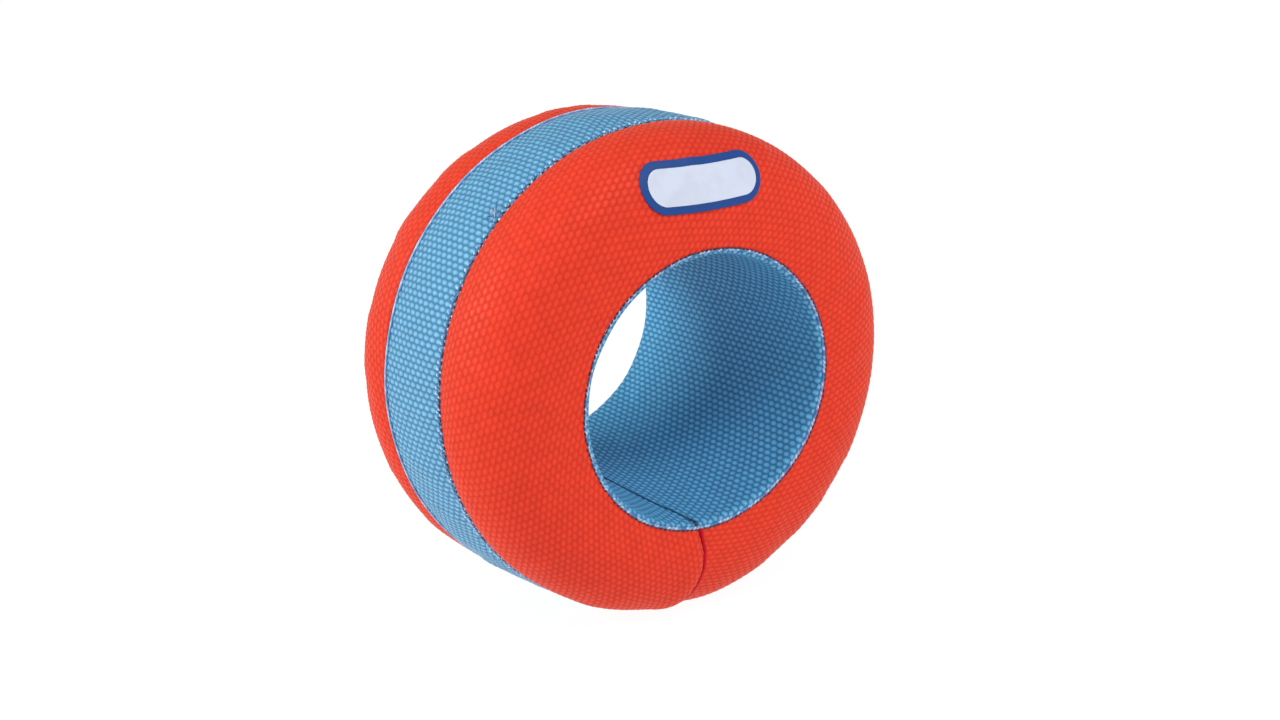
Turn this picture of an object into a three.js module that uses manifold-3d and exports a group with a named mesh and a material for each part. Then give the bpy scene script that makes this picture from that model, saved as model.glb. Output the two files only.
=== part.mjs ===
// A padded fetch roller for dogs: a soft foam ring in a sewn cloth cover.
// Millimetres. +Y is the roll axis, +Z is up, and the front face looks towards -Y.
// The origin is under the middle of the roller, on the ground that it stands on.
//
// The cover is made of four strips: a band round the middle, a panel on each side and a
// sleeve through the hole. Each strip is a ring cut open near the bottom, where its two ends
// are sewn together. Cross-sections are drawn in a half plane that holds the roll axis:
// x is the distance from the axis and y the distance from the middle plane. The material of
// a strip lies to the left of the line that draws its outer face.

import {
  BoxGeometry,
  BufferAttribute,
  BufferGeometry,
  CircleGeometry,
  CubicBezierCurve,
  ExtrudeGeometry,
  Group,
  LatheGeometry,
  Mesh,
  MeshStandardMaterial,
  QuadraticBezierCurve,
  Shape,
  ShapeUtils,
  Vector2,
} from "three";
import { mergeVertices } from "three/addons/utils/BufferGeometryUtils.js";
import Module from "manifold-3d";

const wasm = await Module();
wasm.setup();

// Driving dimensions
const ROLLER_R = 70; // the rolling surface, at the middle of the band
const HALF_WIDTH = 40; // from the middle plane to the side face
const BAND_HALF = 14; // from the middle plane to a band seam
const BORE_R = 39; // the sleeve, at each rim of the hole
const WAIST_R = 37.5; // the sleeve, half way through, where the foam presses it in
const CLOTH = 1; // thickness of the cover
const ALLOWANCE = 5; // edge of a strip that is turned in at a seam
const FOLD = 2; // radius of the turned-in edge
const THREAD = 0.7; // thickness of a row of stitches
const GAP = 0.3; // between neighbouring pieces
const FLAT = 1; // height lost where the foam is pressed against the ground
const SAG = 0.0125; // share by which the ring is wider, and lower, than a circle
const SEGMENTS = 40; // round the ring
const SEAM_TURN = 0.1; // radians that the closing seam is to the left of the lowest point

// Dimensions that follow
const SEAM_R = ROLLER_R - 0.8; // the band's edges are pulled in by the seams
const BAND_EDGE = BAND_HALF - GAP / 2;
const PANEL_EDGE = BAND_HALF + GAP / 2;
const RIM_R = BORE_R + CLOTH + GAP; // inner edge of a side panel
const SLEEVE_END = HALF_WIDTH - 0.8;
const SLIT = THREAD + 2 * GAP; // opening between the two ends of a strip
const ALLOWANCE_TIP = HALF_WIDTH - FOLD - ALLOWANCE;

// Generic label: a plain pill-shaped patch at the top of the front panel
const LABEL_LENGTH = 37;
const LABEL_HEIGHT = 13;
const LABEL_THICKNESS = 0.6;
const LABEL_R = 58;
const LABEL_Y = -38;
const LABEL_LEAN = 0.44; // radians that the panel's face leans back there

const ORANGE_CLOTH = new MeshStandardMaterial({ color: 0xe64534, roughness: 0.85, metalness: 0 });
const LIGHT_BLUE_CLOTH = new MeshStandardMaterial({ color: 0x73afd4, roughness: 0.85, metalness: 0 });
const BLUE_CLOTH = new MeshStandardMaterial({ color: 0x4a88b8, roughness: 0.85, metalness: 0 });
const FOAM = new MeshStandardMaterial({ color: 0xe8e4d8, roughness: 0.95, metalness: 0 });
const PALE_THREAD = new MeshStandardMaterial({ color: 0xa9cbe4, roughness: 0.7, metalness: 0 });
const NAVY_THREAD = new MeshStandardMaterial({ color: 0x2a3350, roughness: 0.7, metalness: 0 });
const DEEP_BLUE = new MeshStandardMaterial({ color: 0x2554a0, roughness: 0.5, metalness: 0 });

// ---- Lines of the cross-section ----

const at = (x, y) => new Vector2(x, y);
const mirrored = (points) => points.map((p) => at(p.x, -p.y)).reverse();

function bandFace() {
  const halfCrown = BAND_HALF / 2;
  return [
    at(SEAM_R, FOLD - BAND_EDGE),
    at(ROLLER_R, -halfCrown),
    at(ROLLER_R, halfCrown),
    at(SEAM_R, BAND_EDGE - FOLD),
  ];
}

// From the band seam over the shoulder and down the side to the start of the rim's fold.
function panelFace() {
  return new CubicBezierCurve(
    at(SEAM_R, PANEL_EDGE + FOLD),
    at(ROLLER_R + 1.5, HALF_WIDTH * 0.67),
    at(ROLLER_R - 5, HALF_WIDTH),
    at(RIM_R + 5, HALF_WIDTH),
  ).getPoints(7);
}

// From the front rim of the hole to the rear rim, on the side of the hole.
function sleeveFace() {
  const half = new QuadraticBezierCurve(
    at(BORE_R, SLEEVE_END),
    at(WAIST_R, HALF_WIDTH / 2),
    at(WAIST_R, 0),
  ).getPoints(3);
  return [...half, ...mirrored(half).slice(1)];
}

// The turned-in edge of a strip, from its tip in the foam to its outer face.
function turnedEdge(tip, foldStart, corner, foldEnd) {
  return [tip, ...new QuadraticBezierCurve(foldStart, corner, foldEnd).getPoints(2).slice(0, -1)];
}

function bandLine() {
  const edge = turnedEdge(
    at(SEAM_R - ALLOWANCE, -BAND_EDGE),
    at(SEAM_R - FOLD, -BAND_EDGE),
    at(SEAM_R, -BAND_EDGE),
    at(SEAM_R, FOLD - BAND_EDGE),
  );
  return [...edge, ...bandFace(), ...mirrored(edge)];
}

function panelLine() {
  const seamEdge = turnedEdge(
    at(SEAM_R - ALLOWANCE, PANEL_EDGE),
    at(SEAM_R - FOLD, PANEL_EDGE),
    at(SEAM_R, PANEL_EDGE),
    at(SEAM_R, PANEL_EDGE + FOLD),
  );
  const rimEdge = turnedEdge(
    at(RIM_R, ALLOWANCE_TIP),
    at(RIM_R, HALF_WIDTH - FOLD),
    at(RIM_R, HALF_WIDTH),
    at(RIM_R + 5, HALF_WIDTH),
  );
  return [...seamEdge, ...panelFace(), ...rimEdge.reverse()];
}

// The same line moved to its left by depth, with both of its ends drawn out by reach.
function insetLine(points, depth, reach = 0) {
  const last = points.length - 1;
  return points.map((p, i) => {
    const before = points[Math.max(i - 1, 0)];
    const after = points[Math.min(i + 1, last)];
    const along = after.clone().sub(before).normalize();
    const inwards = at(-along.y, along.x);
    const end = i === 0 ? -reach : i === last ? reach : 0;
    return p.clone().addScaledVector(inwards, depth).addScaledVector(along, end);
  });
}

// ---- Solids ----

// A ring about the roll axis from a closed cross-section.
function ring(section) {
  const outline = ShapeUtils.isClockWise(section) ? [...section].reverse() : section;
  return new LatheGeometry([...outline, outline[0]], SEGMENTS);
}

// A strip of cloth drawn by the line of its outer face.
const clothRing = (line) => ring([...line, ...insetLine(line, CLOTH).reverse()]);

// A ring of round thread with its middle at distance r from the axis and y from the middle plane.
function threadRing(r, y) {
  const circle = new CircleGeometry(THREAD / 2, 6).getAttribute("position");
  const section = [];
  for (let i = 1; i <= 6; i += 1) {
    section.push(at(r + circle.getX(i), y + circle.getY(i)));
  }
  return ring(section);
}

// Presses the bottom of the ring flat: the lift of a point depends on how far it is to the
// side, and it fades out between the rolling surface and the hole.
function settle(geometry) {
  const position = geometry.getAttribute("position");
  for (let i = 0; i < position.count; i += 1) {
    const x = position.getX(i);
    const z = position.getZ(i);
    const belowGround = Math.sqrt(Math.max(ROLLER_R ** 2 - x ** 2, 0)) - (ROLLER_R - FLAT);
    const share = Math.min(Math.max((-z - BORE_R) / (ROLLER_R - BORE_R - 10), 0), 1);
    position.setZ(i, z + Math.max(belowGround, 0) * share);
  }
  return geometry;
}

function toSolid(geometry) {
  const bare = geometry.index ? geometry.toNonIndexed() : geometry.clone();
  bare.deleteAttribute("normal");
  bare.deleteAttribute("uv");
  const merged = mergeVertices(bare, 1e-3);
  const vertProperties = merged.getAttribute("position").array;
  const triVerts = new Uint32Array(merged.index.array);
  return new wasm.Manifold(new wasm.Mesh({ numProp: 3, vertProperties, triVerts }));
}

function toGeometry(solid) {
  const { vertProperties, triVerts } = solid.getMesh();
  const geometry = new BufferGeometry();
  geometry.setAttribute("position", new BufferAttribute(new Float32Array(vertProperties), 3));
  geometry.setIndex(new BufferAttribute(new Uint32Array(triVerts), 1));
  return geometry;
}

// Cuts a settled ring open near the bottom, where the two ends of its strip meet.
function cutOpen(geometry, turn = SEAM_TURN) {
  const gap = new BoxGeometry(SLIT, 4 * HALF_WIDTH, ROLLER_R + FLAT);
  gap.translate(0, 0, -(ROLLER_R + FLAT) / 2);
  gap.rotateY(turn);
  return toGeometry(toSolid(settle(geometry)).subtract(toSolid(gap)));
}

// ---- Pieces ----

function foamCore() {
  const clear = CLOTH + GAP;
  const panel = insetLine(panelLine(), clear, GAP);
  const sleeve = insetLine(sleeveFace(), clear).filter((p) => Math.abs(p.y) < ALLOWANCE_TIP - GAP);
  const rebate = at(BORE_R + clear, ALLOWANCE_TIP - GAP);
  const section = [
    ...insetLine(bandLine(), clear, GAP),
    ...panel,
    rebate,
    ...sleeve,
    ...mirrored([rebate]),
    ...mirrored(panel),
  ];
  return settle(ring(section));
}

// The seam that closes the cover: a flat loop of stitches round the foam, in the slit.
function closingSeam() {
  const side = [...panelFace(), at(RIM_R + 1, HALF_WIDTH - 0.6)];
  const loop = [...bandFace(), ...side, ...sleeveFace(), ...mirrored(side)];
  const seam = new Shape(insetLine(loop, 0.15));
  seam.holes.push(new Shape(insetLine(loop, 0.15 + THREAD)));
  const geometry = new ExtrudeGeometry(seam, { depth: THREAD, bevelEnabled: false });
  geometry.translate(0, 0, -THREAD / 2);
  geometry.rotateY(Math.PI / 2 + SEAM_TURN); // the drawing's x turns down, to under the hole
  return settle(geometry);
}

function pill(length, height) {
  const r = height / 2;
  const x = length / 2 - r;
  return new Shape()
    .absarc(x, 0, r, -Math.PI / 2, Math.PI / 2, false)
    .absarc(-x, 0, r, Math.PI / 2, (3 * Math.PI) / 2, false);
}

// A patch that lies on the front panel's face, cut out by a pill-shaped punch.
function label() {
  const face = panelFace();
  const under = insetLine(face, -GAP);
  const over = insetLine(face, -GAP - LABEL_THICKNESS);
  const skin = ring([...over, ...under.reverse()]);
  skin.rotateZ(Math.PI);
  const punch = new ExtrudeGeometry(pill(LABEL_LENGTH, LABEL_HEIGHT), {
    depth: 20,
    bevelEnabled: false,
    curveSegments: 8,
  });
  punch.translate(0, 0, -10);
  punch.rotateX(Math.PI / 2 - LABEL_LEAN);
  punch.translate(0, LABEL_Y, LABEL_R);
  return toGeometry(toSolid(skin).intersect(toSolid(punch)));
}

// ---- The roller ----

const roller = new Group();
roller.scale.set(1 + SAG, 1, 1 - SAG);
roller.position.z = (ROLLER_R - FLAT) * (1 - SAG);

function add(name, geometry, material) {
  const mesh = new Mesh(geometry, material);
  mesh.name = name;
  roller.add(mesh);
  return mesh;
}

add("foam_core", foamCore(), FOAM);
add("outer_band", cutOpen(clothRing(bandLine())), LIGHT_BLUE_CLOTH);
add("bore_sleeve", cutOpen(clothRing(sleeveFace())), BLUE_CLOTH);
add("closing_seam_thread", closingSeam(), NAVY_THREAD);
add("front_label", label(), DEEP_BLUE);

// Everything on the two sides is alike: half a turn about Z brings the rear to the front.
for (const side of ["rear", "front"]) {
  const front = side === "front";
  const rings = [
    ["side_panel", clothRing(panelLine()), ORANGE_CLOTH],
    ["band_thread", threadRing(SEAM_R - 0.2, BAND_HALF), NAVY_THREAD],
    ["bore_thread", threadRing(BORE_R + 0.5, SLEEVE_END + 0.7), PALE_THREAD],
  ];
  for (const [name, geometry, material] of rings) {
    const open = cutOpen(geometry, front ? -SEAM_TURN : SEAM_TURN);
    add(`${side}_${name}`, open, material).rotation.z = front ? Math.PI : 0;
  }
}

const part = new Group();
part.add(roller);
export default part;
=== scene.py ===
"""The padded fetch roller: sewn cloth over foam, on a pale floor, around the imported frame.

Lengths are in millimetres until in_place() turns them into metres. The roll axis is along Y and
the front face looks towards -Y. An angle goes round the axis from +X towards +Z. A line of the
cross-section is drawn by the distance r from the axis and the distance y from the middle plane.
Each strip of cloth is a closed shell: its outer face is woven, its edges are turned in at the
seams, and its two ends meet at the closing seam under the hole.
"""

import math

import bpy
import numpy as np
from mathutils import Matrix, Vector


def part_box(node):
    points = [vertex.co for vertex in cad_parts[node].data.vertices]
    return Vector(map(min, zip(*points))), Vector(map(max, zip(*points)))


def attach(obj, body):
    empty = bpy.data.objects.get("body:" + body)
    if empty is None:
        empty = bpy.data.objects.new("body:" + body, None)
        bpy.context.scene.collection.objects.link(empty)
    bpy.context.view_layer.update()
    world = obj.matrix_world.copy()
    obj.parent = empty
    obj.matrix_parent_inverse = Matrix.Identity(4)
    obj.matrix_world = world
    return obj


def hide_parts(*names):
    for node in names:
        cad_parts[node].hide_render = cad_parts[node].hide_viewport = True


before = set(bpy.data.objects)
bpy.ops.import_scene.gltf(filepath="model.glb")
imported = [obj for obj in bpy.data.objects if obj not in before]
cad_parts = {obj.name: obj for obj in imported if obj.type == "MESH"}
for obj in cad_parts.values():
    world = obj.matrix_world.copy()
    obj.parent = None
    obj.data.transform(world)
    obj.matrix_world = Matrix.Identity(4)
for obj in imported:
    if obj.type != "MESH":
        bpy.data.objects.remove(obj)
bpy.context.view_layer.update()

MM = 0.001
TURN = 2 * math.pi
RANDOM = np.random.default_rng(5)

# ---- Driving dimensions ----

ROLLER_R = 70.0  # rolling surface, at the middle of the band
SEAM_R = 69.3  # the band's edges are pulled in by the seams
SIDE_Y = 39.5  # side face
BAND_HALF = 14.0  # from the middle plane to a band seam
BAND_EDGE = BAND_HALF - 0.1  # the edge of the band, and that of a side panel beside it
PANEL_EDGE = BAND_HALF + 0.2
CLOTH = 0.8  # thickness
FOLD = 1.2  # radius of a turned-in edge at the rim
SEAM_FOLD = 0.7  # and at a band seam, where it is pulled tighter
ALLOWANCE = 3.5  # turned-in cloth
SAG = 0.0125  # the ring is this share wider, and lower, than a circle
PRESS = 0.5  # how softly the ring meets the ground
SLUMP = 0.7  # how much lower the soft rear side is at the top
AXIS_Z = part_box("outer_band")[1].z / MM - ROLLER_R * (1 - SAG)

# Bezier points of the cross-section: a side panel from its band seam to its rim, and the crown
# of the band between its seams
SHOULDER = ((71.4, 26.8), (65.1, SIDE_Y), (43.4, SIDE_Y))
CROWN = ((70.9, -6.0), (70.9, 6.0))

# The closing seam: its angle at some distances along the side panel's line from the band seam,
# and through the sleeve. It bends, because the two ends aren't sewn quite straight.
SEAM_S = (0.0, 15.0, 24.0, 32.0, 38.0, 44.0, 50.0)
SEAM_DEGREES = (-93.0, -93.5, -92.8, -92.0, -92.4, -94.5, -96.8)
SLEEVE_SEAM_DEGREES = (-98.0, -103.6, -104.8, -102.2, -96.8)  # from the rear to the front
SLIT = 0.06  # between the two ends of a strip

# The hole: its rims differ a little, because the foam is soft
HOLE_Y = (-39.5, -30.0, 0.0, 30.0, 39.5)
HOLE_R = (38.3, 37.9, 37.2, 36.3, 36.3)
HOLE_X = (0.1, 0.0, -0.5, -1.1, -1.2)
HOLE_Z = (-2.1, -1.4, 0.4, 2.0, 2.5)
HOLE_MEAN_R = 39.0
HOLE_OVAL = (0.0155, 0.007)  # shares of that radius: how oval it is level, and on the slant
OVAL_FADE = (1.0, 0.3)  # how much of it there is at the front and at the rear
RIM_WIDTH = 1.5  # from the sleeve to the edge of a side panel
RIM_R = 42.0  # a side panel follows the hole's shift in full from here inwards
SLEEVE_SHORT = 0.7  # between the sleeve's edge and the side face
SLEEVE_TURNED_IN = (1.6, 0.1)  # its cloth turned in at the edge: outwards and along the axis
FLARE = 0.3  # how far the sleeve opens at its edges
FLARE_START = 2.2  # from the side face
FLARE_RUN = 1.5

# Unevenness of hand sewing: how many waves go round, where they start and their turn per mm
LONG_WAVES = ((3, 0.4, 0.05), (5, 1.9, -0.07), (8, 4.1, 0.11), (13, 0.9, 0.13))
UNEVEN = 0.18  # their size on the cloth's face

# Rows of stitches
BAND_STITCHES = 168  # round a band seam
RIM_STITCHES = 98  # round a rim of the hole
SEAM_ROW = ALLOWANCE + SEAM_FOLD - 0.3  # from the edge of a strip, turned-in cloth included
RIM_ROW = ALLOWANCE + FOLD - 0.5
SEAM_DENT = (0.15, 1.6)  # how deep they pull a side panel in, and over what distance it fades
RIM_DENT = (0.18, 1.6)
BAND_DENT = (0.2, 1.4)

# Weave
COLUMN = 1.72  # pitch of the columns of floats
ROW = 1.28  # pitch of the yarns that cross them
BAND_COLUMNS = 256  # round the band
SLEEVE_COLUMNS = 140  # round the sleeve
RELIEF = 0.24  # between the weave's low and high places
RELIEF_START = 2.5  # from a cut edge
RELIEF_RUN = 1.5
# The side panel is cut as part of a flat ring that covers this share of a turn. Its cloth is
# eased in by the sewing, so this is its radius in the flat at some distances along its line.
PANEL_FLAT_SHARE = 0.685
PANEL_FLAT_S = (0.0, 15.0, 38.0, 46.0, 52.0)
PANEL_FLAT_R = (112.0, 97.0, 71.0, 62.0, 55.5)
BAND_BIAS = 0.04  # the band is cut a little off the grain
PANEL_GRAIN = math.radians(156)  # where the columns lie along the seam

# Camera
LENS = 63.27
CAMERA_AZIMUTH = -35.68
CAMERA_ELEVATION = 15.99
CAMERA_ROLL = -1.43
CAMERA_DISTANCE = 0.641
CAMERA_ASIDE = (0.00436, -0.00185)


# ---- Lines of the cross-section ----


def bezier(points, count):
    """Points along a Bezier curve."""
    t = np.linspace(0, 1, count)[:, None]
    level = [np.array(p, float) for p in points]
    while len(level) > 1:
        level = [(1 - t) * a + t * b for a, b in zip(level, level[1:])]
    return level[0]


class Line:
    """A line of the cross-section, found by the length along it. Outwards is on its right."""

    def __init__(self, *runs):
        points = np.vstack(runs)
        steps = np.linalg.norm(np.diff(points, axis=0), axis=1)
        keep = np.r_[True, steps > 1e-6]
        self.points = points[keep]
        steps = np.linalg.norm(np.diff(self.points, axis=0), axis=1)
        self.lengths = np.r_[0, np.cumsum(steps)]
        self.total = self.lengths[-1]
        along = np.gradient(self.points, self.lengths, axis=0)
        along /= np.linalg.norm(along, axis=1)[:, None]
        self.out = np.stack([along[:, 1], -along[:, 0]], 1)

    def at(self, s):
        """r, y and the outward direction in r and y at the lengths s."""
        rows = [self.points[:, 0], self.points[:, 1], self.out[:, 0], self.out[:, 1]]
        return [np.interp(s, self.lengths, row) for row in rows]


def corner(start, middle, end):
    """A rounded corner."""
    return bezier([start, middle, end], 9)


def panel_line(rim_r):
    """From the cloth turned in at the band seam, over the shoulder, to that turned in at the rim."""
    edge = PANEL_EDGE
    shoulder_start = (SEAM_R + 0.1, edge + SEAM_FOLD)
    return Line(
        [(SEAM_R - ALLOWANCE, edge)],
        corner((SEAM_R - SEAM_FOLD, edge), (SEAM_R, edge), shoulder_start),
        bezier([shoulder_start, *SHOULDER], 120),
        corner((rim_r + FOLD, SIDE_Y), (rim_r, SIDE_Y), (rim_r, SIDE_Y - FOLD)),
        [(rim_r, SIDE_Y - ALLOWANCE)],
    )


def band_line():
    """From the cloth turned in at the front seam to that turned in at the rear one."""
    edge = BAND_EDGE
    crown_end = (SEAM_R, edge - SEAM_FOLD)
    turned_in = corner(crown_end, (SEAM_R, edge), (SEAM_R - SEAM_FOLD, edge))
    rear = np.vstack([turned_in, [(SEAM_R - ALLOWANCE, edge)]])
    crown = bezier([(SEAM_R, SEAM_FOLD - edge), *CROWN, crown_end], 40)
    return Line(rear[::-1] * (1, -1), crown, rear)


def sleeve_line():
    """From the rear rim to the front rim, so that outwards is towards the axis."""
    y = np.linspace(SIDE_Y - SLEEVE_SHORT, SLEEVE_SHORT - SIDE_Y, 60)
    face = np.stack([np.interp(y, HOLE_Y, HOLE_R), y], 1)
    face[:, 0] += FLARE * np.clip((np.abs(y) - SIDE_Y + FLARE_START) / FLARE_RUN, 0, 1) ** 2
    out, along = SLEEVE_TURNED_IN
    rear = [face[0] + (out, along)]
    front = [face[-1] + (out, -along)]
    return Line(rear, face, front)


# ---- Surfaces ----


def in_place(r, angle, y):
    """Points in metres, with the ring's oval and the flat where it stands on the ground."""
    x = r * np.cos(angle) * (1 + SAG)
    rise = r * np.sin(angle) * (1 - SAG)
    z = AXIS_Z + rise - SLUMP * np.clip(y / SIDE_Y, 0, 1) * np.clip(rise / ROLLER_R, 0, 1)
    z = (z + np.sqrt(z**2 + PRESS**2)) / 2  # flattened where it would go below the ground
    return np.stack(np.broadcast_arrays(x, y, z), -1) * MM


def hole_shift(angle, y):
    """How far the edge of the hole is from its mean radius: it is a little oval and off the axis."""
    level, slant = HOLE_OVAL
    oval = level * np.cos(2 * angle) + slant * np.sin(2 * angle)
    x = np.interp(y, HOLE_Y, HOLE_X)
    z = np.interp(y, HOLE_Y, HOLE_Z)
    fade = np.interp(y, (-SIDE_Y, SIDE_Y), OVAL_FADE)
    return HOLE_MEAN_R * oval * fade + x * np.cos(angle) + z * np.sin(angle)


def slow_waves(angle, s, size):
    """A few long waves round and across a strip."""
    waves = [np.sin(n * angle + start + k * s) / len(LONG_WAVES) for n, start, k in LONG_WAVES]
    return size * sum(waves)


def rounded(distance, radius):
    """1 at an edge, down to 0 at radius from it, as a quarter circle."""
    t = np.clip(1 - distance / radius, 0, 1)
    return 1 - np.sqrt(1 - t**2)


def hump(distance, width):
    """1 in the middle, falling off softly to both sides."""
    return np.exp(-((distance / width) ** 2))


def stitch_dents(distance, angle, count, depth, reach):
    """How deep a row of count stitches pulls the cloth in, by the distance from the row."""
    pull = 0.5 + 0.5 * np.cos(angle * count)
    return depth * pull * np.exp(-np.abs(distance) / reach)


class Strip:
    """One strip of cloth of the cover. side is -1 for a line mirrored to the front.

    first and last are the distances from the strip's two ends, which meet at the closing seam.
    """

    FIRST_FOLD = (0.9, 0.8)  # depth and radius of the turn of the first end
    LAST_FOLD = (1.7, 2.6)  # and of the roll of the last one
    PAINTED_SHADE = (0.9, 0.5)  # how far from an end the painted seam shade stops, and how wide the change is
    SWELL = (0.5, 4.5, 3.5)  # how far the last end swells up, at what distance, and how wide
    DIP = (0.7, 7.0)  # how much lower the first end lies, and how wide
    EASE_START = ALLOWANCE  # from an edge, where these two begin
    EASE_RUN = 5.0

    def __init__(self, line, side=1):
        self.line = line
        self.side = side
        self.wrinkles = None

    def reach(self, r, y, angle):
        """How far the strip's middle line is moved out at this angle."""
        return 0

    def at(self, s, angle, height=0):
        """Points at the length s along the line and the angle, height above the cloth's face."""
        r, y, out_r, out_y = self.line.at(s)
        shift = self.reach(r, y * self.side, angle)
        return in_place(r + shift + out_r * height, angle, self.side * (y + out_y * height))

    def out(self, s, angle):
        """The way out of the cloth."""
        way = self.at(s, angle, 1.0) - self.at(s, angle)
        return way / np.linalg.norm(way, axis=-1, keepdims=True)

    def round_way(self, s, angle):
        """The way round the ring along the cloth."""
        way = self.at(s, angle + 0.01) - self.at(s, angle - 0.01)
        return way / np.linalg.norm(way)

    def seam(self, s):
        """The angle of the closing seam at s."""
        return np.radians(SEAM_DEGREES[0]) + 0 * s

    def from_edge(self, s):
        """How far s is from the nearer edge of the strip."""
        return np.minimum(s, self.line.total - s)

    def from_ends(self, s, angle):
        """How far a point is from the first and from the last end of the strip."""
        r = self.line.at(s)[0]
        return (angle - self.seam(s)) * r, (self.seam(s) + TURN - angle) * r

    def fold(self, s, angle):
        """How deep the two ends are turned in at the closing seam."""
        first, last = self.from_ends(s, angle)
        first_depth, first_r = self.FIRST_FOLD
        last_depth, last_r = self.LAST_FOLD
        return last_depth * rounded(last, last_r) + first_depth * rounded(first, first_r)

    def shade(self, s, angle):
        """How much painted shade the cloth gets where it goes down into the closing seam, from 0 to 1.
        """
        reach, blend = self.PAINTED_SHADE
        nearest = np.minimum(*self.from_ends(s, angle)) * self.painted_shade_squeeze(s)
        return np.clip((reach - nearest) / blend, 0, 1)

    def painted_shade_squeeze(self, s):
        """Less than 1 where the painted shade is wider."""
        return 1

    def ease(self, s, angle):
        """Beside the closing seam the first end lies lower and the last one swells up."""
        first, last = self.from_ends(s, angle)
        free = np.clip((self.from_edge(s) - self.EASE_START) / self.EASE_RUN, 0, 1)
        rise, distance, rise_width = self.SWELL
        depth, depth_width = self.DIP
        return free * (rise * hump(last - distance, rise_width) - depth * hump(first, depth_width))

    def waves(self, s, angle):
        """The unevenness of the cloth's face, without its dents and folds."""
        return slow_waves(angle, s, UNEVEN) + self.ease(s, angle) + self.wrinkle(s, angle)

    def dents(self, s, angle):
        """How deep the rows of stitches pull the cloth in."""
        return 0

    def height(self, s, angle):
        """How far the cloth's face stands out from the strip's line."""
        return self.waves(s, angle) - self.dents(s, angle) - self.fold(s, angle)

    def wrinkle(self, s, angle):
        """The wrinkles that the stuffing leaves, once they are simulated."""
        if self.wrinkles is None:
            return 0
        rows, table = self.wrinkles
        share = (angle - self.seam(s)) / TURN
        i = np.interp(s, rows, np.linspace(0, table.shape[0] - 1, len(rows)))
        j = np.clip(share, 0, 1) * (table.shape[1] - 1)
        i, j = np.broadcast_arrays(i, j)
        below = np.minimum(i.astype(int), table.shape[0] - 2)
        before = np.minimum(j.astype(int), table.shape[1] - 2)
        up, on = i - below, j - before
        low = table[below, before] * (1 - on) + table[below, before + 1] * on
        high = table[below + 1, before] * (1 - on) + table[below + 1, before + 1] * on
        return low * (1 - up) + high * up


class Panel(Strip):
    def seam(self, s):
        return np.radians(np.interp(s - ALLOWANCE, SEAM_S, SEAM_DEGREES))

    def reach(self, r, y, angle):
        share = np.clip((SEAM_R - r) / (SEAM_R - RIM_R), 0, 1)
        share = share * share * (3 - 2 * share)
        return share * hole_shift(angle, y)

    def painted_shade_squeeze(self, s):
        """The painted shade is wider near the band, where the roll is fuller."""
        return np.interp(s, (8, 30), (0.5, 0.85))

    def dents(self, s, angle):
        from_rim = self.line.total - RIM_ROW - s
        at_rim = stitch_dents(from_rim, angle, RIM_STITCHES, *RIM_DENT)
        return at_rim + stitch_dents(s - SEAM_ROW, angle, BAND_STITCHES, *SEAM_DENT)

    def weave(self, s, angle):
        """Which column and row of the weave a point is at, on the flat ring it is cut from."""
        flat_r = np.interp(s - ALLOWANCE, PANEL_FLAT_S, PANEL_FLAT_R)
        turn = PANEL_FLAT_SHARE * (angle - PANEL_GRAIN)
        return flat_r * np.cos(turn) / COLUMN, flat_r * np.sin(turn) / ROW


class Band(Strip):
    def dents(self, s, angle):
        return stitch_dents(self.from_edge(s) - SEAM_ROW, angle, BAND_STITCHES, *BAND_DENT)

    def weave(self, s, angle):
        across = s - self.line.total / 2 + BAND_BIAS * angle * ROLLER_R
        return angle / TURN * BAND_COLUMNS, across / ROW


class Sleeve(Strip):
    """Its ends are pulled flat and turned in only a little. Here the first one lies higher."""

    FIRST_FOLD = (0.3, 0.4)
    LAST_FOLD = (0.3, 0.5)
    PAINTED_SHADE = (0.55, 0.3)
    SWELL = (-0.1, 0.0, 5.0)
    DIP = (-0.1, 5.0)
    EASE_START = 1.0

    def seam(self, s):
        shares = np.linspace(0, 1, len(SLEEVE_SEAM_DEGREES))
        return np.radians(np.interp(s / self.line.total, shares, SLEEVE_SEAM_DEGREES))

    def reach(self, r, y, angle):
        return hole_shift(angle, y)

    def weave(self, s, angle):
        return angle / TURN * SLEEVE_COLUMNS, (s - self.line.total / 2) / ROW + 0 * angle


band = Band(band_line())
sleeve = Sleeve(sleeve_line())
front_panel = Panel(panel_line(HOLE_R[0] + RIM_WIDTH), -1)
rear_panel = Panel(panel_line(HOLE_R[-1] + RIM_WIDTH), 1)


# ---- Cloth simulation: how the stuffed cover wrinkles between its seams ----

SIM_COLUMNS = 240
SIM_STEP = 3.2  # between its rows
SIM_GAP = 0.001  # share of a turn between its ends and the closing seam
SIM_EDGE = ALLOWANCE + 0.9  # where its rows start on a strip
SIM_SLEEVE_EDGE = 1.5
SIM_SCALE = 10  # the solver works better on a larger object
SIM_FRAMES = 20
SIM_EASE = 0.015  # share of spare cloth
SIM_PRESSURE = 4
WRINKLE_LIMIT = 0.18
WRINKLE_DETAIL = 5  # how many times finer the wrinkles are drawn than simulated


def refine(table, times):
    """The same table with more rows and columns, joined smoothly."""
    fine = table.repeat(times, 0).repeat(times, 1)
    box = np.ones(times) / times
    for axis in (0, 1, 0, 1):
        pad = [(0, 0), (0, 0)]
        pad[axis] = (times // 2, times - 1 - times // 2)
        wide = np.pad(fine, pad, "edge")
        fine = np.apply_along_axis(np.convolve, axis, wide, box, "valid")
    return fine


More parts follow.
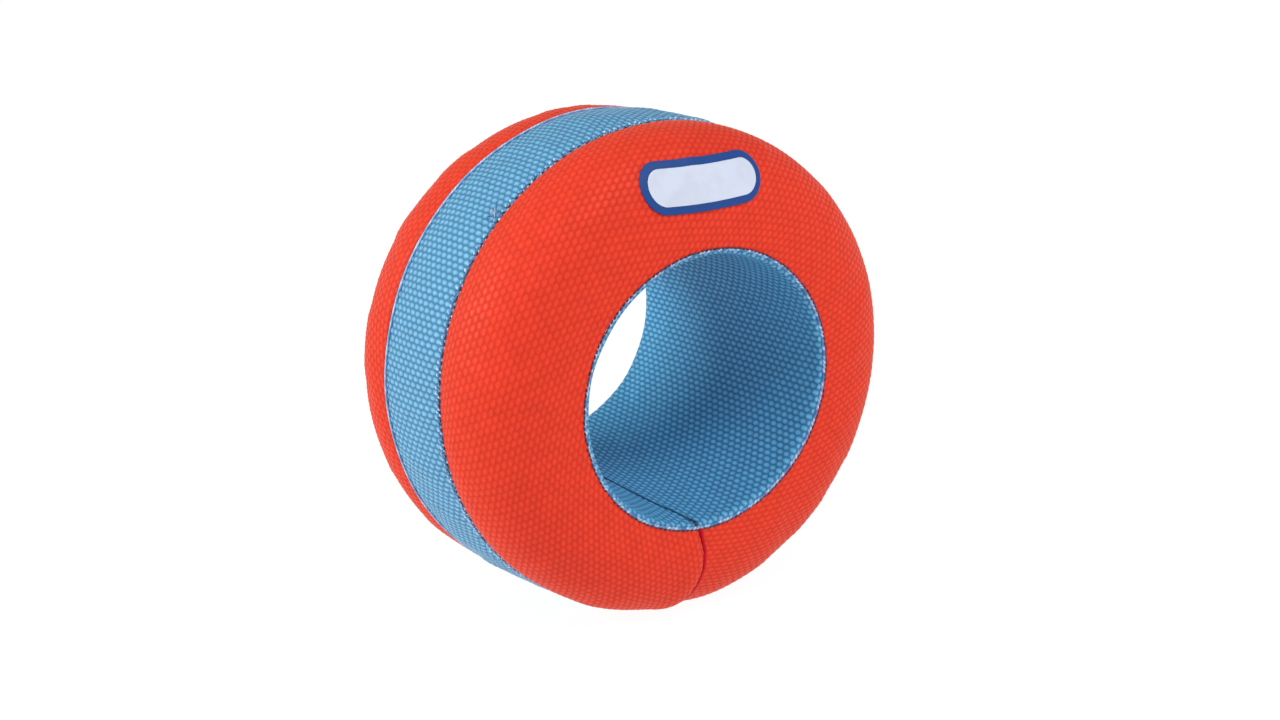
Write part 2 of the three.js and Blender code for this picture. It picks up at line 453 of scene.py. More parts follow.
def stuffed(points, faces, sewn):
    """Where the points of the cover end up when its spare cloth is blown out by the stuffing."""
    mesh = bpy.data.meshes.new("cover")
    mesh.from_pydata(points * SIM_SCALE, [], faces)
    obj = bpy.data.objects.new("cover", mesh)
    scene = bpy.context.scene
    scene.collection.objects.link(obj)
    obj.vertex_groups.new(name="sewn").add(sewn, 1.0, "REPLACE")
    cloth = obj.modifiers.new("cloth", "CLOTH")
    settings = cloth.settings
    settings.quality = 8
    settings.mass = 0.3
    settings.tension_stiffness = 40
    settings.compression_stiffness = 40
    settings.shear_stiffness = 12
    settings.bending_stiffness = 4
    settings.use_pressure = True
    settings.uniform_pressure_force = SIM_PRESSURE
    settings.shrink_min = -SIM_EASE
    settings.vertex_group_mass = "sewn"
    settings.effector_weights.gravity = 0
    cloth.point_cache.frame_start = 1
    cloth.point_cache.frame_end = SIM_FRAMES
    for frame_number in range(1, SIM_FRAMES + 1):
        scene.frame_set(frame_number)
    done = obj.evaluated_get(bpy.context.evaluated_depsgraph_get()).data
    moved = np.empty(len(done.vertices) * 3, np.float32)
    done.vertices.foreach_get("co", moved)
    bpy.data.objects.remove(obj)
    bpy.data.meshes.remove(mesh)
    scene.frame_set(1)
    return moved.reshape(-1, 3) / SIM_SCALE


def sim_rows(strip):
    """Where the sheet has its rows, along a strip's line."""
    edge = SIM_SLEEVE_EDGE if strip is sleeve else SIM_EDGE
    count = int((strip.line.total - 2 * edge) / SIM_STEP)
    return np.linspace(edge, strip.line.total - edge, count)


def sheet():
    """The cover as one sheet round its cross-section: points, ways out, and each strip's span."""
    share = np.linspace(SIM_GAP, 1 - SIM_GAP, SIM_COLUMNS)[:, None] * TURN
    points, outs, spans = [], [], []
    start = 0
    for strip in (band, rear_panel, sleeve, front_panel):
        rows = sim_rows(strip)
        s = (rows[::-1] if strip is front_panel else rows)[None, :]
        angle = share + strip.seam(s)
        points.append(strip.at(s, angle, strip.waves(s, angle)))
        outs.append(strip.out(s, angle))
        spans.append((strip, rows, slice(start, start + len(rows))))
        start += len(rows)
    return np.concatenate(points, 1), np.concatenate(outs, 1), spans


def simulate():
    """Gives each strip its wrinkles: how far it moves out, beside the mean all round the ring."""
    points, outs, spans = sheet()
    sewn = np.zeros(points.shape[:2], bool)
    sewn[[0, 1, -2, -1]] = True
    for _, _, span in spans:
        sewn[:, [span.start, span.stop - 1]] = True
    faces = loop_grid(SIM_COLUMNS, points.shape[1], False, False)[:-2]
    moved = stuffed(points.reshape(-1, 3), faces, np.flatnonzero(sewn).tolist())
    rise = ((moved.reshape(points.shape) - points) * outs).sum(-1) / MM
    for strip, rows, span in spans:
        table = rise[:, span].T
        table = table - table.mean(1, keepdims=True)
        table = WRINKLE_LIMIT * np.tanh(table / WRINKLE_LIMIT)
        if strip is front_panel:
            table = table[::-1]
        strip.wrinkles = (rows, refine(table, WRINKLE_DETAIL))


# ---- Meshes ----

END_STEPS = (SLIT / 2, 0.25, 0.4, 0.6, 0.85, 1.15)  # a strip's first columns, from its end
END_ZONE = 1.5  # where its even columns start
HIDDEN_ROW = ALLOWANCE * 0.45  # the first row of its outer face after the edge
INNER_SPACING = 6.0  # between the rows of its plain inside
FOAM_CLEAR = 2.5  # between the cloth's face and the foam
PLY_PITCH = 1.3  # along a thread
PLY_RELIEF = 0.12
TUBE_ENDS = (0.35, 0.8, 1.0)  # shares of a thread's radius at its first and last points
FOLLOW = 0.8  # share of the cloth's unevenness that the stitches follow
END_GAP = 1.2  # between a row of stitches and the closing seam
CORD_STEP = 0.3  # between the points of a cord's route
CLOSING_PITCH = 2.4  # of the stitches in the closing seam


def make_mesh(name, points, faces, weave=None):
    """A smooth object from points and faces, with a coordinate for its material on each point."""
    mesh = bpy.data.meshes.new(name)
    mesh.from_pydata(points, [], faces)
    if weave is not None:
        layer = mesh.attributes.new("weave", "FLOAT_VECTOR", "POINT")
        layer.data.foreach_set("vector", np.ascontiguousarray(weave, np.float32).ravel())
    mesh.shade_smooth()
    obj = bpy.data.objects.new(name, mesh)
    bpy.context.scene.collection.objects.link(obj)
    return obj


def loop_grid(columns, rows, closed, flip):
    """Faces of a grid whose rows close on themselves. Open ends are capped."""
    index = np.arange(columns * rows).reshape(columns, rows)
    if closed:
        index = np.vstack([index, index[:1]])
    here = index[:-1]
    there = index[1:]
    quads = np.stack([here, there, np.roll(there, -1, 1), np.roll(here, -1, 1)], -1).reshape(-1, 4)
    if flip:
        quads = quads[:, ::-1]
    faces = quads.tolist()
    if not closed:
        first, last = index[0].tolist(), index[-1].tolist()
        faces += [first[::-1], last] if flip else [first, last[::-1]]
    return faces


def cloth_shell(name, strip, columns, spacing):
    """The strip as a closed shell, woven on its outer face and plain inside."""
    line = strip.line
    hidden = np.array([0.0, HIDDEN_ROW])
    face_s = np.arange(HIDDEN_ROW + spacing, line.total - HIDDEN_ROW, spacing)
    outer_s = np.r_[hidden, face_s, line.total - hidden[::-1]]
    inner_s = np.linspace(line.total, 0, max(7, int(line.total / INNER_SPACING)))
    s = np.r_[outer_s, inner_s][None, :]
    mean_r = line.points[:, 0].mean()
    near_end = np.array(END_STEPS) / mean_r
    middle = np.linspace(END_ZONE / mean_r, TURN - END_ZONE / mean_r, columns)
    angle = np.r_[near_end, middle, TURN - near_end[::-1]][:, None] + strip.seam(s)
    u, v = strip.weave(s, angle)
    woven = np.clip((strip.from_edge(s) - RELIEF_START) / RELIEF_RUN, 0, 1)
    relief = RELIEF / 2 * np.cos(math.pi * u) * np.cos(math.pi * v) * woven
    inside = np.r_[np.zeros(len(outer_s)), np.ones(len(inner_s))][None, :]
    height = strip.height(s, angle) + np.where(inside > 0, -CLOTH, relief)
    points = strip.at(s, angle, height).reshape(-1, 3)
    # its third coordinate is the painted shade of the closing seam
    weave = np.stack(np.broadcast_arrays(u, v, strip.shade(s, angle)), -1).reshape(-1, 3)
    faces = loop_grid(len(angle), s.shape[1], False, strip.side < 0)
    return make_mesh(name, points, faces, weave)


def foam_ring(name):
    """The foam, a little inside the cover all round."""
    runs = (
        (band, np.linspace(ALLOWANCE + 1, band.line.total - ALLOWANCE - 1, 10)),
        (rear_panel, np.linspace(ALLOWANCE + 2, rear_panel.line.total - ALLOWANCE - 1.5, 16)),
        (sleeve, np.linspace(5, sleeve.line.total - 5, 20)),
        (front_panel, np.linspace(front_panel.line.total - ALLOWANCE - 1.5, ALLOWANCE + 2, 16)),
    )
    angle = np.linspace(0, TURN, 180, endpoint=False)[:, None]
    rows = [strip.at(s[None, :], angle, -FOAM_CLEAR) for strip, s in runs]
    points = np.concatenate(rows, 1)
    faces = loop_grid(len(angle), points.shape[1], True, False)
    return make_mesh(name, points.reshape(-1, 3), faces)


def tube(path, radius, up, sides=7):
    """Points, faces and ply height of a closed tube of two-ply thread, rounded at its ends."""
    along = np.gradient(path, axis=0)
    along /= np.linalg.norm(along, axis=1)[:, None]
    aside = np.cross(up, along)
    aside /= np.linalg.norm(aside, axis=1)[:, None]
    over = np.cross(along, aside)
    count = len(path)
    length = np.r_[0, np.cumsum(np.linalg.norm(np.diff(path, axis=0), axis=1))] / MM
    turn = np.arange(sides)[None, :] / sides * TURN
    ply = np.cos(2 * turn + length[:, None] / PLY_PITCH * TURN)
    from_end = np.minimum(np.arange(count), np.arange(count)[::-1])
    shares = np.interp(from_end, (0, 1, 2), TUBE_ENDS)
    radii = radius * shares[:, None] * (1 + PLY_RELIEF * ply)
    ring = np.cos(turn)[..., None] * aside[:, None] + np.sin(turn)[..., None] * over[:, None]
    points = path[:, None] + radii[..., None] * ring
    points[..., 2] = np.maximum(points[..., 2], 0.0)  # pressed flat on the ground
    coordinates = np.stack([ply, 0 * ply, 0 * ply], -1)
    return points.reshape(-1, 3), loop_grid(count, sides, False, False), coordinates.reshape(-1, 3)


def join_tubes(name, tubes):
    """Many tubes as one object. Each one gets a shade of its own, unless it already has one."""
    points, faces, weave = [], [], []
    start = 0
    for tube_points, tube_faces, coordinates in tubes:
        if not coordinates[:, 2].any():
            coordinates[:, 2] = RANDOM.random()
        points.append(tube_points)
        faces += [[start + i for i in face] for face in tube_faces]
        weave.append(coordinates)
        start += len(tube_points)
    return make_mesh(name, np.vstack(points), faces, np.vstack(weave))


def stitch(middle, along, out, length, thickness, arch):
    """One stitch as a short arched tube. Its middle is in metres and its sizes in millimetres."""
    t = np.linspace(-1, 1, 7)[:, None]
    path = middle + (along * t * length / 2 + out * arch * (1 - t**2)) * MM
    return tube(path, thickness / 2 * MM, out)


def stitch_row(strip, s, count, length, thickness, slant, lift, loose=0.08, phase=0.0):
    """A row of stitches that follows the strip's line at s.

    slant turns each stitch off the row, loose is how unevenly they lie, and phase moves the row
    on by a share of a stitch.
    """
    made = []
    gap = END_GAP / ROLLER_R
    for k in range(count):
        angle = strip.seam(s) + gap + (k + 0.5 + phase) / count * (TURN - 2 * gap)
        jitter = RANDOM.normal(0, loose, 3)
        height = lift + strip.height(s, angle) * FOLLOW + jitter[0] * 0.5
        middle = strip.at(s + jitter[1], angle, height)
        row = strip.round_way(s, angle)
        out = strip.out(s, angle)
        lean = slant + jitter[2]
        along = row * math.cos(lean) + np.cross(out, row) * math.sin(lean)
        made.append(stitch(middle, along, out, length * (1 + jitter[0]), thickness, arch=0.1))
    return made


def cord(strip, s, thickness, lift):
    """A twisted cord all round a strip, with its shade drifting along it."""
    sides = 8
    steps = int(strip.line.at(s)[0] * TURN / CORD_STEP)
    angle = strip.seam(s) + np.linspace(0.002, TURN - 0.002, steps)
    path = strip.at(s, angle, lift + slow_waves(angle, s, 0.25))
    points, faces, coordinates = tube(path, thickness / 2 * MM, strip.out(s, angle), sides)
    coordinates[:, 2] = np.repeat(0.5 + 0.45 * slow_waves(angle * 9, s, 1.6), sides)
    return points, faces, coordinates


def closing_stitches():
    """Short stitches that hold the two ends of each strip together, down in the closing seam."""
    made = []
    for strip in (band, front_panel, sleeve, rear_panel):
        edge, depth = (2.0, 1.3) if strip is sleeve else (ALLOWANCE + 0.6, 2.0)
        for s in np.arange(edge, strip.line.total - edge, CLOSING_PITCH):
            angle = strip.seam(s)
            middle = strip.at(s, angle, -depth)
            ahead = strip.at(s + 0.3, angle) - strip.at(s - 0.3, angle)
            ahead /= np.linalg.norm(ahead)
            out = strip.out(s, angle)
            along = ahead * 0.9 + np.cross(ahead, out) * 0.35
            made.append(stitch(middle, along, out, length=2.0, thickness=0.45, arch=0.2))
    return made


def end_bars():
    """Stitches that cross the closing seam where it reaches the front rim of the hole."""
    made = []
    for k in range(4):
        s = sleeve.line.total - 1.4 - 1.1 * k
        angle = sleeve.seam(s) + RANDOM.uniform(-0.006, 0.006)
        out = sleeve.out(s, angle)
        way = sleeve.round_way(s, angle)
        along = way + np.cross(out, way) * RANDOM.uniform(-0.7, 0.7)
        middle = sleeve.at(s, angle)
        made.append(stitch(middle, along, out, length=2.6, thickness=0.34, arch=0.25))
    return made


def tuft():
    """Loose ends of thread where the sewing of the front band seam starts and stops."""
    made = []
    root = math.radians(134)
    s = ALLOWANCE + 1.2
    out = band.out(s, root)
    length, rise, thickness = 1.7, 1.3, 0.32
    for k in range(7):
        angle = root + RANDOM.uniform(-0.025, 0.025)
        start = band.at(s + RANDOM.uniform(-0.2, 1.4), angle, 0.2)
        way = RANDOM.normal(0, 1, 3)
        way -= out * np.dot(way, out)
        way /= np.linalg.norm(way)
        bend = np.cross(out, way) * RANDOM.uniform(-1.0, 1.0)
        t = np.linspace(0, 1, 9)[:, None]
        path = start + (way * length * t + bend * t * t + out * rise * np.sin(t * 2.6)) * MM
        made.append(tube(path, thickness / 2 * MM, out + way * 0.3))
    return made


# ---- Label: a plain pill-shaped patch, with nothing on it ----

LABEL_LENGTH = 39.5
LABEL_HEIGHT = 13.0
LABEL_BORDER = 2.0
LABEL_S = 32.5  # its middle, along the front panel's line
LABEL_X = 1.0  # and aside from the top of the ring
LABEL_THICKNESS = 0.6
LABEL_SUNK = 0.1  # how deep its lower face is in the cloth
FIELD_GAP = 0.02  # between the border's face and the field
FIELD_THICKNESS = 0.2


def pill(length, height):
    """Points round a pill-shaped outline, the same above and below its long axis."""
    r = height / 2
    middle = length / 2 - r
    count = 13  # points on a quarter turn, and on half of a straight side
    turn = np.linspace(0, math.pi / 2, count)
    right = np.stack([middle + r * np.cos(turn), r * np.sin(turn)], 1)
    top = np.stack([np.linspace(middle, 0, count)[1:-1], np.full(count - 2, r)], 1)
    quarter = np.vstack([right, top])
    upper = np.vstack([quarter, [(0, r)], quarter[::-1] * (-1, 1)])
    return np.vstack([upper, upper[-2:0:-1] * (1, -1)])


def on_panel(x, up):
    """The angle and the length along the front panel's line of points of a flat patch."""
    r, _, out_r, _ = front_panel.line.at(LABEL_S)
    rise = r + up * math.sqrt(1 - out_r**2)
    face = np.arange(12, 44, 0.25)  # the stretch of the line where r only falls
    s = np.interp(-np.hypot(x, rise), -front_panel.line.at(face)[0], face)
    return np.arctan2(rise, x + LABEL_X), s


def closed_patch(name, length, height, low, high):
    """A patch with a rounded edge that follows the panel's curve, closed above and below."""
    # Each ring of points has an inset from the outline and a height above the cloth
    steps = np.linspace(0.8, height / 2 - 0.25, 8)
    below = [(inset, low) for inset in steps[::-1]] + [(0.15, low)]
    edge = [(0.0, low + 0.1), (-0.02, low + 0.6 * (high - low)), (0.08, high - 0.06)]
    above = [(0.3, high)] + [(inset, high) for inset in steps]
    rings = []
    for inset, lift in below + edge + above:
        flat = pill(length - 2 * inset, height - 2 * inset)
        angle, s = on_panel(flat[:, 0], flat[:, 1])
        rings.append(front_panel.at(s, angle, front_panel.waves(s, angle) + lift))
    count = len(rings[0])
    faces = loop_grid(len(rings), count, False, True)[:-2]
    for start in (0, (len(rings) - 1) * count):
        for k in range(count // 2):
            face = [start + i % count for i in (k, k + 1, count - k - 1, count - k)]
            face = list(dict.fromkeys(face))
            faces.append(face[::-1] if start == 0 else face)
    return make_mesh(name, np.vstack(rings), faces)


# ---- Materials ----


class Nodes:
    """A material under construction."""

    def __init__(self, name, **shader):
        self.material = bpy.data.materials.new(name)
        self.material.use_nodes = True
        self.tree = self.material.node_tree
        self.shader = self.tree.nodes["Principled BSDF"]
        for socket, value in shader.items():
            self.shader.inputs[socket.replace("_", " ")].default_value = value

    def node(self, kind, inputs=(), **settings):
        made = self.tree.nodes.new(kind)
        for name, value in settings.items():
            setattr(made, name, value)
        for socket, value in dict(inputs).items():
            self.feed(made.inputs[socket], value)
        return made

    def feed(self, socket, value):
        """Links a node's output to a socket, or sets the socket to a plain value."""
        if isinstance(value, bpy.types.NodeSocket):
            self.tree.links.new(value, socket)
        else:
            socket.default_value = value

    def math(self, operation, *values):
        made = self.node("ShaderNodeMath", enumerate(values), operation=operation)
        return made.outputs[0]

    def noise(self, vector, scale, detail=2.0):
        inputs = {"Vector": vector, "Scale": scale, "Detail": detail}
        return self.node("ShaderNodeTexNoise", inputs).outputs["Fac"]

    def remap(self, value, low, high, to_low=0.0, to_high=1.0):
        """A smooth step: to_low where the value is up to low, to_high where it is past high."""
        inputs = {0: value, 1: low, 2: high, 3: to_low, 4: to_high}
        return self.node("ShaderNodeMapRange", inputs, interpolation_type="SMOOTHSTEP").outputs[0]

    def blend(self, share, low, high):
        """The colour low where share is 0 and the colour high where it is 1."""
        made = self.node("ShaderNodeMix", {0: share, 6: low, 7: high}, data_type="RGBA")
        return made.outputs[2]

    def combine(self, x, y, z=0.0):
        return self.node("ShaderNodeCombineXYZ", {0: x, 1: y, 2: z}).outputs[0]

    def coordinate(self):
        """x, y and z of the coordinate that the mesh carries."""
        carried = self.node("ShaderNodeAttribute", attribute_name="weave")
        split = self.node("ShaderNodeSeparateXYZ", {0: carried.outputs["Vector"]})
        return split.outputs[0], split.outputs[1], split.outputs[2]

    def bump(self, height, distance, strength=1.0):
        inputs = {"Height": height, "Distance": distance * MM, "Strength": strength}
        self.feed(self.shader.inputs["Normal"], self.node("ShaderNodeBump", inputs).outputs[0])


def linear(red, green, blue):
    """A colour given as it looks on a screen, from 0 to 255."""
    values = [value / 255 for value in (red, green, blue)]
    values = [v / 12.92 if v <= 0.04045 else ((v + 0.055) / 1.055) ** 2.4 for v in values]
    return (*values, 1.0)


WHITE = (1.0, 1.0, 1.0, 1.0)
FLANK = 0.98  # how far a float falls to its sides, and to its ends where it dives
FLOAT_POWER = 0.85  # below 1, so its top is flatter and its sides are steeper
CROSSING = (0.08, 0.1)  # height of the crossing yarn: how much it waves, and its middle


def plain_weave(made, u, v):
    """Height of the weave at column u and row v, and whether the upright yarn is on top there."""
    column = made.math("ROUND", u)
    odd = made.math("FLOORED_MODULO", column, 2.0)
    aside = made.math("MULTIPLY", made.math("SUBTRACT", u, column), 2.0)
    pairs = made.math("MULTIPLY", made.math("SUBTRACT", v, odd), 0.5)
    ahead = made.math("MULTIPLY", made.math("SUBTRACT", pairs, made.math("ROUND", pairs)), 2.0)
    flank = made.math("MULTIPLY", made.math("MULTIPLY", aside, aside), FLANK)
    dive = made.math("MULTIPLY", made.math("MULTIPLY", ahead, ahead), FLANK)
    dome = made.math("SUBTRACT", made.math("SUBTRACT", 1.0, flank), dive)
    standing = made.math("POWER", made.math("MAXIMUM", dome, 0.0), FLOAT_POWER)
    wave = made.math("COSINE", made.math("MULTIPLY", v, TURN))
    crossing = made.math("MULTIPLY_ADD", wave, *CROSSING)
    height = made.math("MAXIMUM", standing, crossing)
    return height, made.math("GREATER_THAN", standing, crossing)


def strand_noise(made, u, v, is_standing):
    """Fine strands along the yarn that is on top."""
    along = made.combine(made.math("MULTIPLY", u, 9.0), made.math("MULTIPLY", v, 1.3))
    across = made.combine(made.math("MULTIPLY", u, 1.3), made.math("MULTIPLY", v, 9.0))
    inputs = {0: is_standing, 4: across, 5: along}
    place = made.node("ShaderNodeMix", inputs, data_type="VECTOR")
    return made.noise(place.outputs[1], 1.0, 1.0)


def cloth_material(name, yarn, gap, crown, painted_seam_shade, lift, gloss, sheen=0.02, tint=WHITE):
    """Heavy plain weave: columns of floats that stand up, with the crossing yarn lower between.

    gap is the colour low between the floats, painted shade, and crown that of their tops, a
    painted highlight. painted_seam_shade is the painted shade on the cloth in the closing seam.
    lift is the height of the relief in the bump.
    """
    made = Nodes(
        name,
        Specular_IOR_Level=gloss,
        Sheen_Weight=sheen,
        Sheen_Roughness=0.5,
        Sheen_Tint=tint,
    )
    u, v, shade = made.coordinate()
    height, is_standing = plain_weave(made, u, v)
    strands = strand_noise(made, u, v, is_standing)
    floats = made.combine(made.math("ROUND", u), made.math("ROUND", v))
    uneven = made.noise(floats, 0.37, 0.0)
    # painted shade low between the floats, then a painted highlight on their tops
    colour = made.blend(made.remap(height, 0.05, 0.5), gap, yarn)
    colour = made.blend(made.remap(height, 0.6, 0.95), colour, crown)
    # painted shade where the cloth goes down into the closing seam
    colour = made.blend(made.remap(shade, 0.0, 1.0), colour, painted_seam_shade)
    streak = made.remap(strands, 0.3, 0.7, 0.93, 1.05)
    dye = made.remap(uneven, 0.3, 0.7, 0.96, 1.03)
    tone = made.node("ShaderNodeVectorMath", {0: colour}, operation="SCALE")
    made.feed(tone.inputs["Scale"], made.math("MULTIPLY", streak, dye))
    made.feed(made.shader.inputs["Base Color"], tone.outputs[0])
    made.feed(made.shader.inputs["Roughness"], made.remap(height, 0.1, 1.0, 0.7, 0.4))
    made.bump(made.math("MULTIPLY_ADD", strands, 0.16, height), lift)
    return made.material


def thread_material(name, light, dark):
    """Twisted sewing thread. Its ply turns round each stitch, and the stitches vary in shade.
    The grooves between the plies are painted darker, as painted shade.
    """
    made = Nodes(name, Roughness=0.5, Specular_IOR_Level=0.4, Sheen_Weight=0.1)
    ply, _, shade = made.coordinate()
    colour = made.blend(made.remap(shade, 0.1, 0.9), dark, light)
    # painted shade in the grooves between the plies
    deep = made.blend(made.remap(ply, -1.0, 0.3, 0.0, 1.0), dark, colour)
    made.feed(made.shader.inputs["Base Color"], deep)
    made.bump(ply, 0.05)
    return made.material


def foam_material():
    """Cream open-cell foam, with painted shade in its pores."""
    made = Nodes("cream_foam", Roughness=0.95, Specular_IOR_Level=0.15)
    place = made.node("ShaderNodeTexCoord").outputs["Object"]
    cells = made.node("ShaderNodeTexVoronoi", {"Vector": place, "Scale": 900.0})
    depth = made.remap(cells.outputs["Distance"], 0.0, 0.6)
    # darker in the middle of each cell: painted shade in the pores
    colour = made.blend(depth, linear(205, 196, 178), linear(238, 233, 220))
    made.feed(made.shader.inputs["Base Color"], colour)
    made.bump(depth, 0.4)
    return made.material


def patch_material(name, colour):
    """Soft moulded patch with a fine grain, a little worn in places."""
    made = Nodes(name, Specular_IOR_Level=0.25)
    place = made.node("ShaderNodeTexCoord").outputs["Object"]
    grain = made.noise(place, 2600.0, 3.0)
    worn = made.noise(place, 160.0, 2.0)
    darker = tuple(0.93 * value for value in colour[:3]) + (1.0,)
    made.feed(made.shader.inputs["Base Color"], made.blend(made.remap(worn, 0.3, 0.6), darker, colour))
    made.feed(made.shader.inputs["Roughness"], made.remap(worn, 0.3, 0.7, 0.55, 0.67))
    made.bump(grain, 0.04)
    return made.material


def dress(obj, material, slot, *nodes):
    """Gives a piece its material, and puts it in the place of its CAD nodes. Its slot is not used."""
    obj.data.materials.append(material)
    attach(obj, "root")
    if nodes:
        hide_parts(*nodes)
    return obj


# ---- The roller ----

RIM_CORD = 3.0  # from the end of a side panel's turned-in cloth to the cord on the rim
BAND_INSET = 0.3  # from the end of the band's turned-in cloth to its stitches
# The two rows of bites: how far out of the front seam, length, thickness, slant, lift and phase
BITES = ((0.1, 1.0, 0.75, 0.5, 0.35, 0.0), (0.7, 0.9, 0.7, 0.4, 0.5, 0.5))


def make_cover():
    # each cloth: its yarn, painted shade between the floats and a painted highlight on their tops
    orange = cloth_material(
        "orange_weave",
        linear(218, 58, 37),
        linear(207, 47, 32),
        linear(221, 65, 41),
        painted_seam_shade=linear(196, 24, 40),
        lift=0.13,
        gloss=0.1,
        sheen=0.1,
        tint=(1.0, 0.38, 0.2, 1.0),
    )
    light_blue = cloth_material(
        "light_blue_weave",
        linear(97, 151, 191),
        linear(56, 117, 157),
        linear(115, 177, 214),
        painted_seam_shade=linear(36, 80, 120),
        lift=0.38,
        gloss=0.35,
    )
    blue = cloth_material(
        "blue_weave",
        linear(85, 156, 200),
        linear(48, 116, 160),
        linear(108, 180, 222),
        painted_seam_shade=linear(36, 84, 126),
        lift=0.32,
        gloss=0.3,
    )
    # Name, strip, columns, spacing of the rows, material, slot and the CAD node it replaces
    pieces = (
        ("front_panel_cloth", front_panel, 760, 0.57, orange, "orange_cloth", "front_side_panel"),
        ("rear_panel_cloth", rear_panel, 760, 0.57, orange, "orange_cloth", "rear_side_panel"),
        ("band_cloth", band, 1024, ROW / 3, light_blue, "light_blue_cloth", "outer_band"),
        ("sleeve_cloth", sleeve, 560, ROW / 2.5, blue, "blue_cloth", "bore_sleeve"),
    )
    for name, strip, columns, spacing, material, slot, node in pieces:
        piece = cloth_shell(name, strip, columns, spacing)
        dress(piece, material, slot, node)
    foam = dress(foam_ring("foam_ring"), foam_material(), "foam", "foam_core")


def make_rim(side, panel, pale, navy):
    """The cord round a rim of the hole, fine stitches on its inner side and navy ones outside.
    The navy ones are partly thread and partly painted shade for the deep shadow beside the cord.
    """
    edge = panel.line.total - RIM_CORD
    whip = stitch_row(
        panel, edge + 1.0, 2 * RIM_STITCHES, length=1.5, thickness=0.4, slant=0.75, lift=0.25
    )
    rim_cord = [cord(panel, edge, thickness=0.9, lift=0.1)]
    made = join_tubes(side + "_rim_cord", rim_cord + whip)
    dress(made, pale, "pale_thread", side + "_bore_thread")
    # navy dashes, partly thread and partly painted shade for the deep shadow beside the cord
    dashes = stitch_row(
        panel, edge - 0.55, BAND_STITCHES, length=1.2, thickness=0.42, slant=0.05, lift=0.1
    )
    dress(join_tubes(side + "_rim_dashes_and_shadow", dashes), navy, "navy_thread")


def make_front_band_stitches(painted_lit_thread, navy):
    """Two rows of bites over the edge of the band, and navy dashes beside them in the seam, partly
    thread and partly painted shade for the shadow along the seam.
    """
    front = ALLOWANCE + BAND_INSET
    bites = []
    for aside, length, thickness, slant, lift, phase in BITES:
        bites += stitch_row(
            band, front - aside, BAND_COLUMNS, length, thickness, slant, lift, loose=0.1, phase=phase
        )
    # the bites have the lighter copy of the pale thread: painted light
    dress(join_tubes("front_band_stitches", bites), painted_lit_thread, "pale_thread")
    # navy dashes, partly thread and partly painted shade for the shadow in the seam
    seam = stitch_row(
        front_panel, front - 0.3, BAND_STITCHES, length=1.3, thickness=0.36, slant=0.1, lift=0.15
    )
    dress(join_tubes("front_band_seam_and_shadow", seam), navy, "navy_thread", "front_band_thread")


def make_rear_band_stitches(painted_lit_thread, navy):
    """Dashes down in the seam, and a thin pale cord over the edge of the band, a painted highlight
    along that edge.
    """
    rear = band.line.total - ALLOWANCE - BAND_INSET
    seam = stitch_row(
        band, rear + 1.2, BAND_STITCHES, length=1.7, thickness=0.4, slant=0.1, lift=-0.2
    )
    dress(join_tubes("rear_band_seam", seam), navy, "navy_thread", "rear_band_thread")
    # a pale cord that stands in for the highlight along the band's rear edge: a painted highlight
    painted_edge_highlight = join_tubes("rear_band_edge", [cord(band, rear - 0.2, thickness=0.6, lift=0.3)])
    dress(painted_edge_highlight, painted_lit_thread, "pale_thread")


def make_stitches():
    pale = thread_material("pale_thread", linear(190, 206, 236), linear(66, 112, 166))
    navy = thread_material("navy_thread", linear(52, 60, 98), linear(26, 30, 56))
    # a lighter copy of the pale thread, painted light for stitches that lie in shade
    painted_lit_thread = thread_material("pale_thread_painted_light", linear(185, 218, 250), linear(104, 160, 208))
    for side, panel in (("front", front_panel), ("rear", rear_panel)):
        make_rim(side, panel, pale, navy)
    make_front_band_stitches(painted_lit_thread, navy)
    make_rear_band_stitches(painted_lit_thread, navy)
    closing = join_tubes("closing_seam_stitches", closing_stitches())
    dress(closing, navy, "navy_thread", "closing_seam_thread")
    dress(join_tubes("closing_seam_bars", end_bars()), navy, "navy_thread")
    dress(join_tubes("thread_tuft", tuft()), pale, "pale_thread")


def make_label():
    border = closed_patch("label_border", LABEL_LENGTH, LABEL_HEIGHT, -LABEL_SUNK, LABEL_THICKNESS)
    field_low = LABEL_THICKNESS + FIELD_GAP
    field = closed_patch(
        "label_field",
        LABEL_LENGTH - 2 * LABEL_BORDER,
        LABEL_HEIGHT - 2 * LABEL_BORDER,
        field_low,
        field_low + FIELD_THICKNESS,
    )
    dress(border, patch_material("label_blue", linear(20, 66, 134)), "label", "front_label")
    dress(field, patch_material("label_pale", linear(200, 208, 226)), "label")


# ---- Stage, in metres and watts ----

FLOOR_R = 6.0
FLOOR_SIDES = 64
WALL_HEIGHT = 2.0
FLOOR_GLOW = 0.955  # the lamps bring it up to white
WALL_GLOW = 1.0
WORLD_GLOW = 0.32
GLOW_COLOUR = (0.96, 1.0, 1.0, 1.0)
PAPER_COLOURS = ((0.12, 0.06, 0.06, 1.0), (0.13, 0.065, 0.065, 1.0))


def paper(name, glow):
    """Paper that glows nearly white.

    It is dark without its glow, so it takes little of the light that the ring throws on it. It
    is reddish too, as the glow is a little short of red.
    """
    made = Nodes(
        name,
        Roughness=0.9,
        Specular_IOR_Level=0.1,
        Emission_Strength=glow,
        Emission_Color=GLOW_COLOUR,
    )
    place = made.node("ShaderNodeTexCoord").outputs["Object"]
    tone = made.blend(made.noise(place, 4.0), *PAPER_COLOURS)
    made.feed(made.shader.inputs["Base Color"], tone)
    return made.material


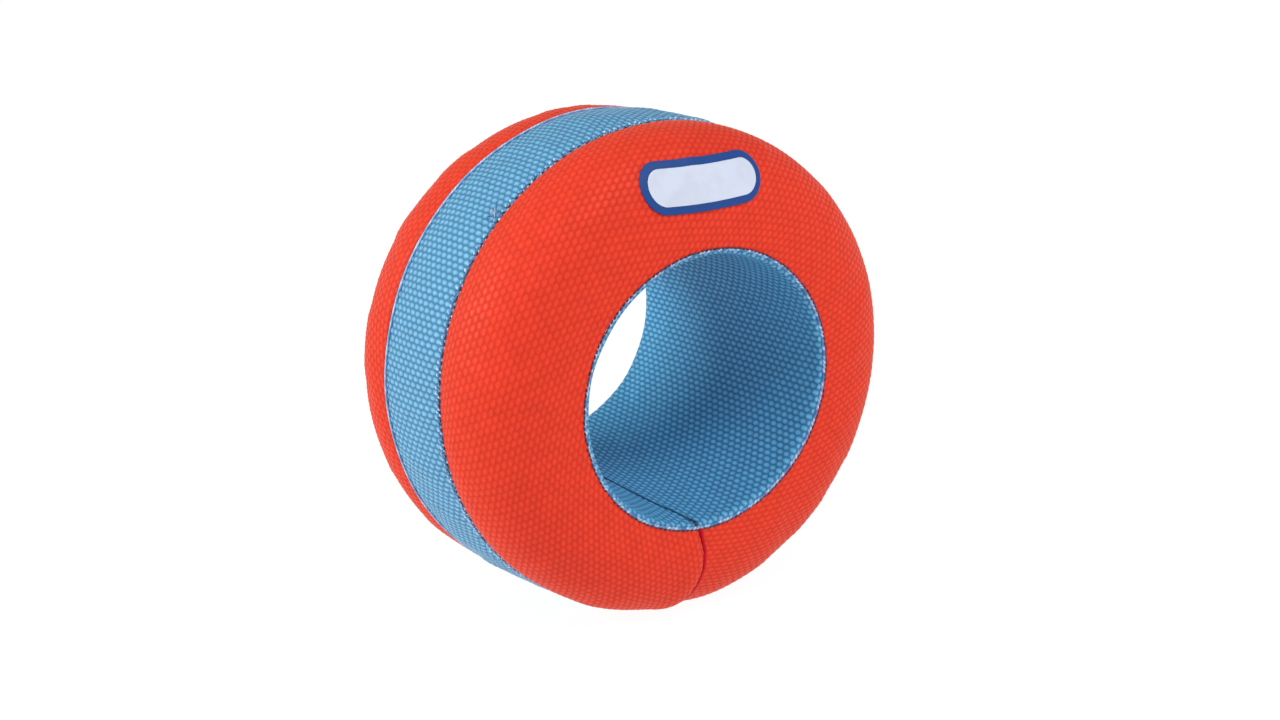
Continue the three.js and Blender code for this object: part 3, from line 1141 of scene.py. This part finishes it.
def make_floor():
    """A round floor with a low wall far behind it on all sides."""
    count = FLOOR_SIDES
    turn = np.arange(count) / count * TURN
    ring = np.stack([np.cos(turn), np.sin(turn), 0 * turn], 1) * FLOOR_R
    floor = make_mesh("floor", ring, [list(range(count))])
    wall = np.vstack([ring, ring + (0, 0, WALL_HEIGHT)])
    faces = [[k, (k + 1) % count, count + (k + 1) % count, count + k] for k in range(count)]
    backdrop = make_mesh("backdrop", wall, faces)
    for obj, glow in ((floor, FLOOR_GLOW), (backdrop, WALL_GLOW)):
        obj.data.materials.append(paper(obj.name + "_paper", glow))


def make_light(name, place, target, size, power, colour=WHITE[:3]):
    """A square lamp that is turned to the target."""
    data = bpy.data.lights.new(name, "AREA")
    data.size = size
    data.energy = power
    data.color = colour
    lamp = bpy.data.objects.new(name, data)
    lamp.location = place
    way = Vector(target) - Vector(place)
    lamp.rotation_euler = way.to_track_quat("-Z", "Y").to_euler()
    bpy.context.scene.collection.objects.link(lamp)


def make_world():
    world = bpy.data.worlds.new("studio")
    world.use_nodes = True
    background = world.node_tree.nodes["Background"]
    background.inputs["Color"].default_value = WHITE
    background.inputs["Strength"].default_value = WORLD_GLOW
    bpy.context.scene.world = world


def make_camera(centre):
    """A camera in front of the ring and to its left, that looks at its middle."""
    a, e, roll = (math.radians(v) for v in (CAMERA_AZIMUTH, CAMERA_ELEVATION, CAMERA_ROLL))
    back = Vector((math.sin(a) * math.cos(e), -math.cos(a) * math.cos(e), math.sin(e)))
    level = Vector((math.cos(a), math.sin(a), 0))
    upright = back.cross(level)
    right = level * math.cos(roll) + upright * math.sin(roll)
    up = upright * math.cos(roll) - level * math.sin(roll)
    data = bpy.data.cameras.new("camera")
    data.lens = LENS
    camera = bpy.data.objects.new("camera", data)
    place = centre + back * CAMERA_DISTANCE + right * CAMERA_ASIDE[0] + up * CAMERA_ASIDE[1]
    turn = Matrix((right, up, back)).transposed().to_4x4()
    camera.matrix_world = Matrix.Translation(place) @ turn
    bpy.context.scene.collection.objects.link(camera)
    bpy.context.scene.camera = camera


def make_stage():
    centre = Vector((0, 0, AXIS_Z * MM))
    make_camera(centre)
    make_floor()
    make_world()
    make_light("front", (0.18, -0.97, 1.35), centre, size=0.8, power=15.3)
    make_light("side", (-1.15, 0.4, 0.65), centre, size=0.5, power=10.6, colour=(0.98, 1.2, 1.12))
    bpy.context.scene.view_settings.view_transform = "Standard"


make_stage()
simulate()
make_cover()
make_stitches()
make_label()
